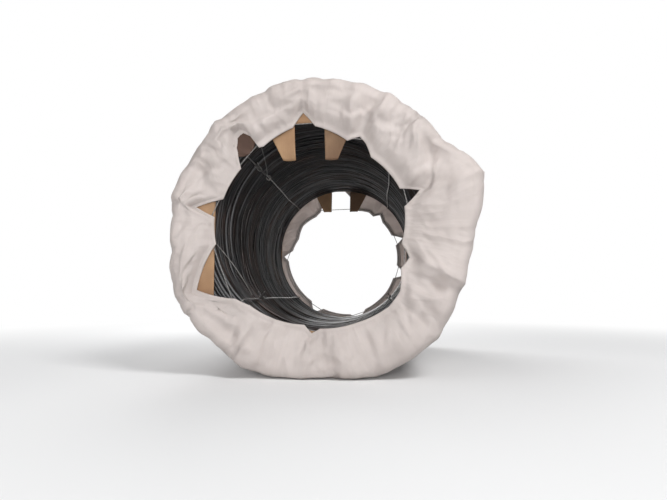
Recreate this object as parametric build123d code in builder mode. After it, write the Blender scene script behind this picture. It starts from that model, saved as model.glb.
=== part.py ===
"""A coil of hot rolled wire rod, tied with four wires, boarded at both ends and wrapped in woven fabric.

The coil lies on its side. X is to the right, Y runs along the coil's axis away from the front end, and Z
is up. The origin is on the wrap's flat underside, below the middle of the coil. Lengths are in
millimetres, angles in degrees, anticlockwise from the right as seen from the front.
"""

from build123d import *
from math import acos, cos, degrees, radians, sin, tan
import os

os.makedirs("parts", exist_ok=True)

FRONT = 1
REAR = -1

# Rod and coil
rod_diameter = 14
bore_diameter = 850
coil_diameter = 1200
coil_length = 1400
turns_per_row = 3
turn_groove = 9
bore_groups = 5

# Clearance between a piece and what it bears on
seat = 0.3

# Binding wires
tie_wire = 6.5
tie_sides = 6
tie_angles = {"upper_right": 45, "upper_left": 135, "lower_left": 225, "lower_right": 315}
tie_twist_diameter = 13
tie_twist_length = 60
tie_twist_depth = 320

# End boards
board_thickness = 5
board_band = 120
board_edge_inside_bore = 3
board_end_width = 43
board_to_tie_angle = 3
board_centres = {"top": 90, "left": 180, "bottom": 270, "right": 0}
front_tab_shift = -32
rear_tab_shift = -16
tab_gap = 124
tab_root = 126
tab_tip = 52
tab_length = 145
tab_lap = 6
pinched_flap_turns = (-5, 4.5)
pinched_flap_inside_bore = 30

# Woven wrap
wrap_wall = 3
wrap_facets = 20
wrap_side_slack = 10
wrap_sag = 30
wrap_bulge = 55
wrap_shoulder = 70
wrap_crest = 30
wrap_dish_inside_bore = 95
wrap_puff = 80
wrap_puff_angle = 17
wrap_puff_sharpness = 8
wrap_puff_length = 520

# Drawstrings in the two hems
string_diameter = 4
string_sides = 6
string_hem = 14

# Each hem's runs, anticlockwise from the top, each point as (angle, how far inside the bore's wall)
front_runs = [
    [(104, 10), (124, 29), (127, 16)],
    [(143, 31), (164, 22)],
    [(175, 0), (190, 4)],
    [(222, -18), (230, 4), (247, 13), (263, 23)],
    [(272, 11), (292, 4), (311, -9), (321, 1), (332, 47)],
    [(347, 79), (371, 68)],
    [(383, 63), (411, 76), (419, 40)],
    [(430, 61), (451, 18)],
]
rear_runs = [
    [(119, 101), (127, 111), (146, 88), (162, 102), (177, 76)],
    [(188, 45), (216, 40), (236, 36)],
    [(250, 26), (276, 12)],
    [(291, 22), (318, 38), (333, 52)],
    [(347, 58), (368, 70)],
    [(380, 80), (398, 90), (406, 68), (411, 105), (418, 99), (431, 119)],
]
# The notch that follows each run, at its deepest point
front_notches = [(129.5, -64), (171, -82), (208, -131), (267.5, -8), (340, 33), (378, -7), (424, 27), (457, -43)]
rear_notches = [(183, 18), (243, -20), (283, -30), (340, -10), (374, 14), (455, -43)]
hems = {FRONT: (front_runs, front_notches), REAR: (rear_runs, rear_notches)}

# Sizes that follow from those above
bore_radius = bore_diameter / 2
coil_radius = coil_diameter / 2
half_length = coil_length / 2
rim_bevel = rod_diameter
turn_rows = round((coil_radius - bore_radius) / (turns_per_row * rod_diameter))
board_edge = bore_radius - board_edge_inside_bore
board_outside = coil_radius + seat + board_thickness
tie_outside = coil_radius + seat + tie_wire
wrap_underside = board_outside + seat + wrap_wall
wrap_tight = max(board_outside, tie_outside) + seat + wrap_wall
axis_height = wrap_underside
string_reach = half_length + seat + tie_wire + seat + string_diameter / 2
hem_reach = string_reach + string_diameter / 2 + seat + wrap_wall
crest_reach = half_length + wrap_bulge

coil_axis = Axis((0, 0, axis_height), (0, 1, 0))


def polar(reach, angle):
    """The point this far from the coil's axis, on an end plane."""
    return (reach * cos(radians(angle)), reach * sin(radians(angle)))


def end_plane(end, reach):
    """The upright plane across the axis, this far from the coil's middle, as seen from the front."""
    return Plane(origin=(0, -end * reach, axis_height), x_dir=(1, 0, 0), z_dir=(0, -1, 0))


def radial_plane(angle):
    """The plane that holds the axis: its x runs outwards at this angle, its y along the axis."""
    out = (cos(radians(angle)), 0, sin(radians(angle)))
    return Plane(origin=(0, 0, axis_height), x_dir=out, z_dir=(-out[2], 0, out[0]))


def bend_start(lift):
    """How far short of the ring's square corner a layer bends over the bevelled rim, this far off it."""
    return rim_bevel - lift * tan(radians(45 / 2))


def save(piece, name):
    """Label a finished piece and write it."""
    piece.part.label = name
    export_step(piece.part, f"parts/{name}.step")


def turn_profile(end):
    """Crests and grooves of the rows of turns on one end face, from the bore outwards, as (radius, y)."""
    face = end * half_length
    first = bore_radius + rim_bevel
    pitch = (coil_radius - rim_bevel - first) / (turn_rows - 1)
    points = [(first, face)]
    for row in range(1, turn_rows):
        crest = first + row * pitch
        points += [(crest - pitch / 2, face - end * turn_groove), (crest, face)]
    return points


def bore_profile():
    """The grooves between groups of turns along the bore, from the front to the rear, as (radius, y)."""
    group = 2 * (half_length - rim_bevel) / bore_groups
    points = []
    for groove in range(1, bore_groups):
        y = groove * group - half_length + rim_bevel
        points += [(bore_radius, y - turn_groove), (bore_radius + turn_groove, y), (bore_radius, y + turn_groove)]
    return points


# The rod's turns, wound close round the bore, as one ring
with BuildPart() as rod_coil:
    with BuildSketch(Plane.XY.offset(axis_height)):
        with BuildLine():
            rim_y = half_length - rim_bevel
            rear_side = [(bore_radius, rim_y), *turn_profile(FRONT), (coil_radius, rim_y)]
            front_side = [(coil_radius, -rim_y), *reversed(turn_profile(REAR)), (bore_radius, -rim_y)]
            Polyline(*rear_side, *front_side, *bore_profile(), close=True)
        make_face()
    revolve(axis=coil_axis)
save(rod_coil, "rod_coil")


def binding_wire(angle):
    """A wire drawn tight round the coil's wall, with its ends twisted together inside the bore."""
    lift = seat + tie_wire / 2
    low, high = bore_radius - lift, coil_radius + lift
    reach = half_length + lift
    bend = rim_bevel + lift
    twist_reach = low - tie_twist_diameter / 2 + tie_wire / 4
    across = radial_plane(angle)
    with BuildPart() as wire:
        with BuildLine(across) as loop:
            FilletPolyline((low, -reach), (high, -reach), (high, reach), (low, reach), radius=bend, close=True)
        with BuildSketch(Plane(origin=loop.line @ 0, x_dir=across.z_dir, z_dir=loop.line % 0)):
            RegularPolygon(tie_wire / 2, tie_sides, major_radius=False, rotation=90 - 180 / tie_sides)
        sweep(path=loop.line)
        with BuildSketch(end_plane(FRONT, half_length - tie_twist_depth)):
            with Locations(polar(twist_reach, angle)):
                RegularPolygon(tie_twist_diameter / 2, tie_sides, major_radius=False)
        extrude(amount=-tie_twist_length)
    return wire


for place, angle in tie_angles.items():
    save(binding_wire(angle), f"tie_{place}")


def board_half_angle():
    """Half the arc that a board covers: up to the ties, or until only its end width is left."""
    narrowest = coil_radius - bend_start(seat) - board_end_width
    return min(45 - board_to_tie_angle, degrees(acos(board_edge / narrowest)))


def board(end, centre, hangs_tabs, tab_shift, flap_turns=None):
    """A board over one quarter of an end: its face, its rim fold and its band, and any hanging tabs."""
    inside = coil_radius + seat
    outside = inside + board_thickness
    near = half_length + seat
    far = near + board_thickness
    fold = coil_radius - bend_start(seat)
    half_angle = board_half_angle()
    sector = [polar(board_edge / cos(radians(turn)), centre + turn) for turn in (-half_angle, half_angle)]
    rim = [polar(fold, centre + turn) for turn in (-half_angle, 0, half_angle)]
    with BuildPart() as piece:
        with BuildSketch(end_plane(end, near)):
            with BuildLine():
                Line(sector[0], rim[0])
                ThreePointArc(*rim)
                Line(rim[2], sector[1])
                Line(sector[1], sector[0])
            make_face()
            if hangs_tabs:
                for hand in (-1, 1):
                    gap_side = tab_shift + hand * tab_gap / 2
                    across = [gap_side, gap_side + hand * tab_root, gap_side + hand * tab_tip, gap_side]
                    up = [board_edge + tab_lap, board_edge + tab_lap, board_edge - tab_length, board_edge - tab_length]
                    with BuildLine():
                        Polyline(*zip(across, up), close=True)
                    make_face()
            if flap_turns:
                turns = [half_angle + turn for turn in flap_turns]
                tips = [polar(bore_radius - pinched_flap_inside_bore, centre + turn) for turn in turns]
                roots = [polar(board_edge / cos(radians(turn)) + tab_lap, centre + turn) for turn in turns]
                with BuildLine():
                    Polyline(*tips, *reversed(roots), close=True)
                make_face()
        extrude(amount=end * board_thickness)
        with BuildSketch(radial_plane(centre - half_angle)):
            with BuildLine():
                outer_bend = coil_radius - bend_start(seat + board_thickness)
                outer_turn = half_length - bend_start(seat + board_thickness)
                face_side = [(fold, near), (fold, far), (outer_bend, far), (outside, outer_turn)]
                band_side = [(outside, half_length - board_band), (inside, half_length - board_band)]
                fold_side = [(inside, half_length - bend_start(seat))]
                Polyline(*[(x, -end * y) for x, y in face_side + band_side + fold_side], close=True)
            make_face()
        revolve(axis=coil_axis, revolution_arc=-2 * half_angle)
    return piece


for end, end_name in ((FRONT, "front"), (REAR, "rear")):
    for place, centre in board_centres.items():
        top = place == "top"
        flap = pinched_flap_turns if top and end == FRONT else None
        shift = front_tab_shift if end == FRONT else rear_tab_shift
        save(board(end, centre, top, shift, flap), f"board_{end_name}_{place}")


def facet_reach(angle, inset, puff):
    """How far from the axis the wrap's facet at this angle lies, where it is drawn in by the inset."""
    if angle % 360 == 270:
        return wrap_underside - inset
    slack = wrap_side_slack * cos(radians(angle)) ** 2
    if sin(radians(angle)) < 0:
        slack += wrap_sag * abs(sin(radians(2 * angle)))
    swell = puff * max(0, cos(radians(angle - wrap_puff_angle))) ** wrap_puff_sharpness
    return wrap_tight + slack + swell - inset


def wrap_ring(end, reach, inset=0, puff=0, all_at=None):
    """Corners of the wrap's faceted outline across one station, each where two neighbouring facets meet."""
    step = 360 / wrap_facets
    corners = []
    for facet in range(wrap_facets):
        angle = -90 + facet * step
        here, after = [all_at or facet_reach(turn, inset, puff) for turn in (angle, angle + step)]
        along = (after - here * cos(radians(step))) / sin(radians(step))
        across, up = polar(here, angle)
        corner = (across - along * sin(radians(angle)), up + along * cos(radians(angle)))
        corners.append(end_plane(end, reach).from_local_coords(corner))
    return corners


def faceted_solid(rings):
    """The solid inside a row of rings: flat facets from each ring to the next, and a flat face at both ends."""
    faces = [Face(Wire.make_polygon(ring, close=True)) for ring in (rings[0], rings[-1])]
    for ring, after in zip(rings, rings[1:]):
        for corner in range(wrap_facets):
            facet = [ring[corner - 1], ring[corner], after[corner], after[corner - 1]]
            faces.append(Face(Wire.make_polygon(facet, close=True)))
    return Solid(Shell(faces))


def wrap_form(wall):
    """The solid inside the wrap's outer surface, or inside its inner one when wall is its thickness."""
    crest_at = crest_reach - wall
    dish_at = hem_reach - wall
    dish = bore_radius - wrap_dish_inside_bore
    shoulder_from = half_length + board_thickness
    return faceted_solid([
        wrap_ring(FRONT, dish_at, all_at=dish),
        wrap_ring(FRONT, crest_at, wrap_shoulder + wrap_crest - wall, wrap_puff),
        wrap_ring(FRONT, crest_at, wrap_shoulder + wall, wrap_puff),
        wrap_ring(FRONT, shoulder_from, wall, wrap_puff),
        wrap_ring(FRONT, half_length - wrap_puff_length, wall),
        wrap_ring(REAR, shoulder_from, wall),
        wrap_ring(REAR, crest_at, wrap_shoulder + wall),
        wrap_ring(REAR, crest_at, wrap_shoulder + wrap_crest - wall),
        wrap_ring(REAR, dish_at, all_at=dish),
    ])


def hem_points(points, outwards=0):
    """Points of a hem on its end plane, moved outwards from the axis."""
    return [polar(bore_radius - inside + outwards, angle) for angle, inside in points]


wrap_outer = wrap_form(0)
wrap_inner = wrap_form(wrap_wall)
with BuildPart() as woven_wrap:
    add(wrap_outer)
    add(wrap_inner, mode=Mode.SUBTRACT)
    for end, (runs, notches) in hems.items():
        hem_corners = [corner for run, notch in zip(runs, notches) for corner in (*run, notch)]
        with BuildSketch(end_plane(end, half_length)):
            with BuildLine():
                Polyline(*hem_points(hem_corners), close=True)
            make_face()
        extrude(amount=end * 2 * wrap_bulge, mode=Mode.SUBTRACT)
save(woven_wrap, "woven_wrap")


def drawstring(end):
    """The cord through one hem, straight across each notch."""
    with BuildPart() as cord:
        with BuildLine(end_plane(end, string_reach)) as loop:
            Polyline(*hem_points([corner for run in hems[end][0] for corner in run], string_hem), close=True)
        with BuildSketch(Plane(origin=loop.line @ 0, z_dir=loop.line % 0)):
            RegularPolygon(string_diameter / 2, string_sides, major_radius=False)
        sweep(path=loop.line, transition=Transition.RIGHT)
    return cord


for end, end_name in ((FRONT, "front"), (REAR, "rear")):
    save(drawstring(end), f"drawstring_{end_name}")
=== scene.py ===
"""A coil of hot rolled wire rod: its turns, tie wires, end boards, woven wrap and drawstrings.

Everything is in metres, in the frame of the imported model: X to the right, Y along the coil's axis away
from the front end, Z up. Angles are in degrees, anticlockwise from the right as seen from the front.
"""

import logging
from dataclasses import asdict, astuple, dataclass
from enum import Enum
from itertools import product

import bpy
import numpy as np
from numpy.typing import NDArray
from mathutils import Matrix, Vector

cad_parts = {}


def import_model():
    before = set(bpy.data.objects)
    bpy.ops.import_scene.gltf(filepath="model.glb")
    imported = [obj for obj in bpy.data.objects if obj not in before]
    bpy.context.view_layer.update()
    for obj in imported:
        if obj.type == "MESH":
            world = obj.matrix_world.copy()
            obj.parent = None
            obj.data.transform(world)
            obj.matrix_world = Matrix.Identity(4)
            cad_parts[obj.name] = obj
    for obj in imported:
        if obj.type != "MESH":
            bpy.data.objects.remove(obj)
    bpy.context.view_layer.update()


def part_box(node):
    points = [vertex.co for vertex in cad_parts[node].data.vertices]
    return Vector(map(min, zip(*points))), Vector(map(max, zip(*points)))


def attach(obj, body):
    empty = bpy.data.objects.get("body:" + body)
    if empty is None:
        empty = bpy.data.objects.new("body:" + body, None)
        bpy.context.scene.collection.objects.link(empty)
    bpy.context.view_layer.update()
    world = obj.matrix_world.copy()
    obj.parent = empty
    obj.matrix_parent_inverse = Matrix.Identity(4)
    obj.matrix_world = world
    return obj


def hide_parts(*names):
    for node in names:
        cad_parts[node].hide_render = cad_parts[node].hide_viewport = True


Array = NDArray[np.float64]
Socket = bpy.types.NodeSocket
Triple = tuple[float, float, float]
Rgba = tuple[float, float, float, float]
log = logging.getLogger("coil")

MM = 0.001
FULL_TURN = 360.0
QUARTER_TURN = np.pi / 2
AXIS = np.array([0.0, 1.0, 0.0])
WHITE: Rgba = (1.0, 1.0, 1.0, 1.0)
BAND_SCALE = 0.31831


class End(Enum):
    """An end of the coil, with the sign of the way that it faces along Y."""

    FRONT = -1
    REAR = 1


class Quarter(Enum):
    """A quarter of an end, with the angle of its middle."""

    TOP = 90.0
    LEFT = 180.0
    BOTTOM = 270.0
    RIGHT = 0.0


class Corner(Enum):
    """A place between two quarters, with its angle."""

    UPPER_RIGHT = 45.0
    UPPER_LEFT = 135.0
    LOWER_LEFT = 225.0
    LOWER_RIGHT = 315.0


def unit(vectors: Array) -> Array:
    """Scale vectors to length one along their last axis."""
    return vectors / np.maximum(np.linalg.norm(vectors, axis=-1, keepdims=True), 1e-12)


def ease(share: Array) -> Array:
    """Turn a share from 0 to 1 into one that starts and ends flat: three squares less two cubes."""
    share = np.clip(share, 0.0, 1.0)
    return share * share * (3.0 - 2.0 * share)


def bell(offset: Array, width: float) -> Array:
    """A bell over an offset: e to minus the square of the offset over the width."""
    return np.exp(-((offset / width) ** 2))


def turned(angle: Array, centre: float) -> Array:
    """How far angles lie from a centre, the short way round, from -180 to 180."""
    return (angle - centre + FULL_TURN / 2) % FULL_TURN - FULL_TURN / 2


def lengths(path: Array) -> Array:
    """How far along a path each of its points lies."""
    return np.concatenate([[0.0], np.cumsum(np.linalg.norm(np.diff(path, axis=0), axis=-1))])


def together(*parts: Array | float) -> Array:
    """Put coordinates side by side on a new last axis, each first spread over all."""
    return np.stack(np.broadcast_arrays(*parts), axis=-1)


def stacked(columns: int, *blocks: Array) -> Array:
    """Put blocks of rows one after the other, each first spread over all columns."""
    return np.concatenate([np.broadcast_to(block, (len(block), columns)) for block in blocks])


def linked(name: str, data: bpy.types.ID) -> bpy.types.Object:
    """Make an object of a mesh, a light or a camera and link it to the scene.

    Args:
        name: The object's name.
        data: What it shows.

    Returns:
        The object, at the origin.
    """
    made = bpy.data.objects.new(name, data)
    bpy.context.scene.collection.objects.link(made)
    return made


@dataclass(frozen=True)
class Noise:
    """Smooth noise: a random slope on each corner of a unit lattice, blended by a fifth-power ease."""

    seed: int

    def at(self, points: Array) -> Array:
        """Work out the noise at points.

        Args:
            points: Places in lattice units, shaped (..., 3).

        Returns:
            Values from about -1 to 1, one for each point.
        """
        rng = np.random.default_rng(self.seed)
        order = rng.permutation(256)
        slopes = unit(rng.normal(size=(256, 3)))
        cell = np.floor(points).astype(int)
        inside = points - cell
        blend = inside**3 * (inside * (inside * 6.0 - 15.0) + 10.0)
        total = np.zeros(points.shape[:-1])
        for corner in np.ndindex(2, 2, 2):
            step = np.array(corner)
            x, y, z = np.moveaxis((cell + step) % 256, -1, 0)
            slope = slopes[order[(order[(order[x] + y) % 256] + z) % 256]]
            weight = np.prod(np.where(step == 1, blend, 1.0 - blend), axis=-1)
            total += weight * np.sum(slope * (inside - step), axis=-1)
        return total * 1.6

    def layered(self, points: Array, layers: int) -> Array:
        """Add up layers of the noise, each at twice the frequency and half the height of the last."""
        return sum(self.at(points * 2.0**k + 17.0 * k) / 2.0**k for k in range(layers))

    def creased(self, points: Array, layers: int) -> Array:
        """Add up layers of one less twice the noise's size, which has ridges where it crosses zero."""
        sizes = (np.abs(self.at(points * 2.0**k + 31.0 * k)) for k in range(layers))
        return sum((1.0 - 2.0 * size) / 2.0**k for k, size in enumerate(sizes))


@dataclass
class Surface:
    """A mesh in the making: its points, its four-sided faces, its own map and named values on its points."""

    points: Array
    faces: NDArray[np.int64]
    uv: Array
    values: dict[str, Array]

    @staticmethod
    def grid(
        points: Array,
        across: Array | float,
        along: Array | float,
        closed: bool = False,
        **values: Array | float,
    ) -> "Surface":
        """Make a surface from a grid of points, with faces from row to row and from column to column.

        Args:
            points: The grid's points, shaped (rows, columns, 3).
            across: The map's first coordinate, spread over the grid.
            along: The map's second coordinate, spread over the grid.
            closed: Whether the last column joins the first.
            values: Named values on the points, each spread over the grid.

        Returns:
            The surface.
        """
        shape = points.shape[:2]
        index = np.arange(shape[0] * shape[1]).reshape(shape)
        left, right = (index, np.roll(index, -1, axis=1)) if closed else (index[:, :-1], index[:, 1:])
        faces = np.stack([left[:-1], right[:-1], right[1:], left[1:]], axis=-1).reshape(-1, 4)
        uv = np.stack([np.broadcast_to(part, shape) for part in (across, along)], axis=-1)
        flat = {name: np.broadcast_to(value, shape).reshape(-1) for name, value in values.items()}
        return Surface(points.reshape(-1, 3), faces, uv.reshape(-1, 2), flat)

    @staticmethod
    def joined(parts: list["Surface"]) -> "Surface":
        """Put several surfaces into one.

        Args:
            parts: The surfaces, with the same named values.

        Returns:
            The one surface.
        """
        starts = np.cumsum([0] + [len(part.points) for part in parts[:-1]])
        return Surface(
            np.concatenate([part.points for part in parts]),
            np.concatenate([part.faces + start for part, start in zip(parts, starts)]),
            np.concatenate([part.uv for part in parts]),
            {name: np.concatenate([part.values[name] for part in parts]) for name in parts[0].values},
        )

    def flipped(self) -> "Surface":
        """The same surface, facing the other way."""
        return Surface(self.points, self.faces[:, ::-1], self.uv, self.values)

    def last_row_joined(self, kept: int) -> "Surface":
        """Drop a last row that repeats the first, and join its faces to the first.

        Args:
            kept: How many points there are without it.

        Returns:
            The surface, which then closes on itself from end to end.
        """
        faces = np.where(self.faces >= kept, self.faces - kept, self.faces)
        values = {name: value[:kept] for name, value in self.values.items()}
        return Surface(self.points[:kept], faces, self.uv[:kept], values)

    def piece(self, name: str, uv_period: float | None = None) -> bpy.types.Object:
        """Make a Blender object of the surface, at the origin and smooth.

        Args:
            name: The piece's name.
            uv_period: The map's width, where the grid closes on itself and its map starts again.

        Returns:
            The new object, linked to the scene.
        """
        mesh = bpy.data.meshes.new(name)
        mesh.vertices.add(len(self.points))
        mesh.vertices.foreach_set("co", self.points.astype(np.float32).ravel())
        mesh.loops.add(self.faces.size)
        mesh.loops.foreach_set("vertex_index", self.faces.astype(np.int32).ravel())
        mesh.polygons.add(len(self.faces))
        mesh.polygons.foreach_set("loop_start", np.arange(0, self.faces.size, 4, dtype=np.int32))
        mesh.polygons.foreach_set("loop_total", np.full(len(self.faces), 4, dtype=np.int32))
        corner_uv = self.uv[self.faces]
        if uv_period:
            across = corner_uv[..., 0]
            far = across.max(axis=1, keepdims=True) - across > uv_period / 2
            corner_uv[..., 0] = np.where(far, across + uv_period, across)
        layer = mesh.uv_layers.new(name="UVMap")
        layer.data.foreach_set("uv", corner_uv.astype(np.float32).ravel())
        for label, value in self.values.items():
            attribute = mesh.attributes.new(label, "FLOAT", "POINT")
            attribute.data.foreach_set("value", value.astype(np.float32))
        mesh.update(calc_edges=True)
        mesh.validate()
        mesh.shade_smooth()
        return linked(name, mesh)


def tube(
    path: Array, radius: float, side: Array, sides: int, closed: bool = False, **values: Array
) -> Surface:
    """Carry a round section along a path.

    A point of the section is the path's point, plus the radius times the cosine of its angle along one
    normal and times its sine along the other. The first normal is the side vector with its part along
    the path taken out, and the second is at right angles to both.

    Args:
        path: The centre line, shaped (n, 3).
        radius: The section's radius.
        side: A vector across the path, one for all or one for each point.
        sides: How many sides the section has, an even number.
        closed: Whether the path's end joins its start.
        values: Named values, one for each point of the path.

    Returns:
        The tube, capped where it is open.
    """
    steps = np.roll(path, -1, axis=0) - np.roll(path, 1, axis=0) if closed else np.gradient(path, axis=0)
    along = unit(steps)
    side = np.broadcast_to(side, path.shape)
    first = unit(side - np.sum(side * along, axis=1, keepdims=True) * along)
    second = np.cross(along, first)
    rows = np.arange(len(path) + int(closed)) % len(path)
    turn = np.linspace(0.0, 2.0 * np.pi, sides, endpoint=False)
    ring = np.cos(turn)[:, None] * first[rows, None] + np.sin(turn)[:, None] * second[rows, None]
    spread = {name: value[rows, None] for name, value in values.items()}
    points = path[rows, None] + radius * ring
    made = Surface.grid(points, turn, lengths(path[rows])[:, None], True, **spread)
    if closed:
        return made.last_row_joined(len(path) * sides)
    step = np.arange(sides // 2 - 1)
    cap = np.stack([-step % sides, step + 1, step + 2, sides - 1 - step], axis=-1)
    made.faces = np.concatenate([made.faces, cap[:, ::-1], cap + (len(path) - 1) * sides])
    return made


def level_square(name: str, half: float) -> bpy.types.Object:
    """A level square at the floor's height.

    Args:
        name: The piece's name.
        half: How far its sides lie from the middle.

    Returns:
        The piece, which faces up.
    """
    corners = [[(-half, -half, 0.0), (half, -half, 0.0)], [(-half, half, 0.0), (half, half, 0.0)]]
    return Surface.grid(np.array(corners), 0.0, 0.0).piece(name)


@dataclass(frozen=True)
class CoilSpace:
    """Where the coil lies: the height of its axis, its half length and its radii."""

    axis_height: float
    half_length: float
    outer_radius: float
    bore_radius: float = 0.425

    @staticmethod
    def from_frame() -> "CoilSpace":
        """Read the coil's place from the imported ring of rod."""
        low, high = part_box("rod_coil")
        return CoilSpace((low.z + high.z) / 2, (high.y - low.y) / 2, (high.x - low.x) / 2)

    def place(self, radius: Array | float, angle: Array | float, y: Array | float) -> Array:
        """Turn distances from the axis, angles and places along it into points."""
        turn = np.radians(angle)
        return together(radius * np.cos(turn), y, self.axis_height + radius * np.sin(turn))

    @staticmethod
    def outwards(angle: Array | float) -> Array:
        """Unit vectors away from the axis at angles."""
        turn = np.radians(angle)
        return together(np.cos(turn), 0.0, np.sin(turn))

    @staticmethod
    def spot(angle: Array, along: Array, round_scale: float, long_scale: float) -> Array:
        """Where to read a noise that runs round the axis and along it, each at its own scale."""
        turn = np.radians(angle)
        return together(np.cos(turn) * round_scale, along * long_scale, np.sin(turn) * round_scale)

    @staticmethod
    def near_tie(angle: Array, width: float) -> Array:
        """A bell of some width in degrees round each tie, half-way between two quarters."""
        return bell(np.abs(np.abs(turned(angle, 0.0)) - 90.0) - 45.0, width)


class Recipe:
    """A node tree in the making: short ways to add nodes and to link them."""

    def __init__(self, tree: bpy.types.NodeTree) -> None:
        """Start from a tree that has its output node."""
        self.tree = tree

    def node(self, kind: str, inputs: dict[str | int, object], **settings: object) -> bpy.types.Node:
        """Add a node.

        Args:
            kind: The node's type, without its ShaderNode prefix.
            inputs: Values, or sockets to link, by the input's name or number.
            settings: The node's own settings.

        Returns:
            The node.
        """
        made = self.tree.nodes.new(f"ShaderNode{kind}")
        for name, value in settings.items():
            setattr(made, name, value)
        for key, value in inputs.items():
            if isinstance(value, Socket):
                self.tree.links.new(value, made.inputs[key])
            else:
                made.inputs[key].default_value = value
        return made

    def show(self, shader: Socket) -> None:
        """Send a shader to the tree's output."""
        output = next(node for node in self.tree.nodes if node.type.startswith("OUTPUT"))
        self.tree.links.new(shader, output.inputs["Surface"])

    def object_place(self) -> Socket:
        """Object coordinates, in metres."""
        return self.node("TexCoord", {}).outputs["Object"]

    def own_map(self, *scale: float) -> Socket:
        """The piece's own map, in metres along the surface, each axis times its own scale."""
        place = self.node("UVMap", {}, uv_map="UVMap").outputs["UV"]
        return self.node("Mapping", {"Vector": place, "Scale": scale}).outputs["Vector"]

    def value(self, name: str) -> Socket:
        """A named value that the mesh carries."""
        return self.node("Attribute", {}, attribute_name=name).outputs["Fac"]

    def noise(self, vector: Socket, scale: float, detail: float = 3.0, roughness: float = 0.55) -> Socket:
        """Noise from 0 to 1."""
        inputs = {"Vector": vector, "Scale": scale, "Detail": detail, "Roughness": roughness}
        return self.node("TexNoise", inputs).outputs["Fac"]

    def bands(self, vector: Socket, direction: str) -> Socket:
        """Soft bands from 0 to 1, each about one unit wide."""
        settings = {"wave_type": "BANDS", "bands_direction": direction, "wave_profile": "SIN"}
        return self.node("TexWave", {"Vector": vector, "Scale": BAND_SCALE}, **settings).outputs["Fac"]

    def spread(
        self, value: Socket, low: float, high: float, to_low: float = 0.0, to_high: float = 1.0
    ) -> Socket:
        """Spread the values from low to high over a new range, and hold them to it."""
        inputs = {"Value": value, "From Min": low, "From Max": high, "To Min": to_low, "To Max": to_high}
        return self.node("MapRange", inputs).outputs["Result"]

    def maths(self, operation: str, first: Socket | float, second: Socket | float) -> Socket:
        """One sum on two numbers or sockets."""
        return self.node("Math", {0: first, 1: second}, operation=operation).outputs[0]

    def plus(self, first: Socket | float, second: Socket | float) -> Socket:
        """Add two numbers or sockets."""
        return self.maths("ADD", first, second)

    def times(self, first: Socket | float, second: Socket | float) -> Socket:
        """Multiply two numbers or sockets."""
        return self.maths("MULTIPLY", first, second)

    def mix(self, share: Socket, first: Socket | Rgba, second: Socket | Rgba) -> Socket:
        """Mix two colours by a share."""
        return self.node("Mix", {0: share, 6: first, 7: second}, data_type="RGBA").outputs[2]

    def mix_shaders(self, share: Socket | float, first: Socket, second: Socket) -> Socket:
        """Mix two shaders by a share."""
        return self.node("MixShader", {0: share, 1: first, 2: second}).outputs[0]

    def white_when_seen(self, plain: Socket, kind: str, share: Socket | None = None) -> Socket:
        """Show white to camera, glossy and transmission rays, and the plain shader to the rest.

        Args:
            plain: The plain shader.
            kind: The type of the white shader, one with a colour and a strength.
            share: How much of the white to show, all of it where this is left out.

        Returns:
            The mixed shader.
        """
        rays = self.node("LightPath", {}).outputs
        seen = self.maths("MAXIMUM", rays["Is Camera Ray"], rays["Is Glossy Ray"])
        seen = self.maths("MAXIMUM", seen, rays["Is Transmission Ray"])
        if share is not None:
            seen = self.times(seen, share)
        white = self.node(kind, {"Color": WHITE, "Strength": 1.0})
        return self.mix_shaders(seen, plain, white.outputs[0])


class Paint(Recipe):
    """A material in the making, with one principled shader."""

    def __init__(self, name: str, numbers: dict[str, float]) -> None:
        """Start a material.

        Args:
            name: The material's name.
            numbers: The shader's numbers that are the same all over, by the input's name.
        """
        self.material = bpy.data.materials.new(name)
        self.material.use_nodes = True
        super().__init__(self.material.node_tree)
        self.shader = self.tree.nodes["Principled BSDF"]
        for socket, number in numbers.items():
            self.shader.inputs[socket].default_value = number

    def feed(self, output: Socket, name: str) -> None:
        """Link an output to the shader's input of that name."""
        self.tree.links.new(output, self.shader.inputs[name])

    def bump(self, height: Socket, distance: float) -> None:
        """Raise the surface by a height, times a distance in metres."""
        inputs = {"Height": height, "Distance": distance, "Strength": 1.0}
        self.feed(self.node("Bump", inputs).outputs["Normal"], "Normal")


@dataclass(frozen=True)
class MillScale:
    """Hot rolled rod: blue-black scale with brown and grey bands along the turns."""

    dark: Rgba = (0.0075, 0.0072, 0.0080, 1.0)
    grey: Rgba = (0.080, 0.078, 0.080, 1.0)
    rust: Rgba = (0.050, 0.026, 0.018, 1.0)
    metallic: float = 0.15
    specular: float = 0.40
    most_rust: float = 0.60
    relief: float = 0.0004

    def material(self) -> bpy.types.Material:
        """Build the material.

        Returns:
            The material, which reads the rod's tint.
        """
        paint = Paint("mill_scale", {"Metallic": self.metallic, "Specular IOR Level": self.specular})
        place = paint.object_place()
        patches = paint.noise(place, 5.0, 4.0)
        fine = paint.noise(place, 60.0)
        tint = paint.value("tint")
        greyed = paint.spread(paint.plus(tint, paint.times(fine, 0.35)), 0.45, 1.25)
        bare = paint.maths("SUBTRACT", 1.35, tint)
        rusted = paint.spread(paint.times(patches, bare), 0.52, 0.85, 0.0, self.most_rust)
        paint.feed(paint.mix(rusted, paint.mix(greyed, self.dark, self.grey), self.rust), "Base Color")
        paint.feed(paint.spread(fine, 0.3, 0.7, 0.30, 0.44), "Roughness")
        paint.bump(fine, self.relief)
        return paint.material


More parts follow.
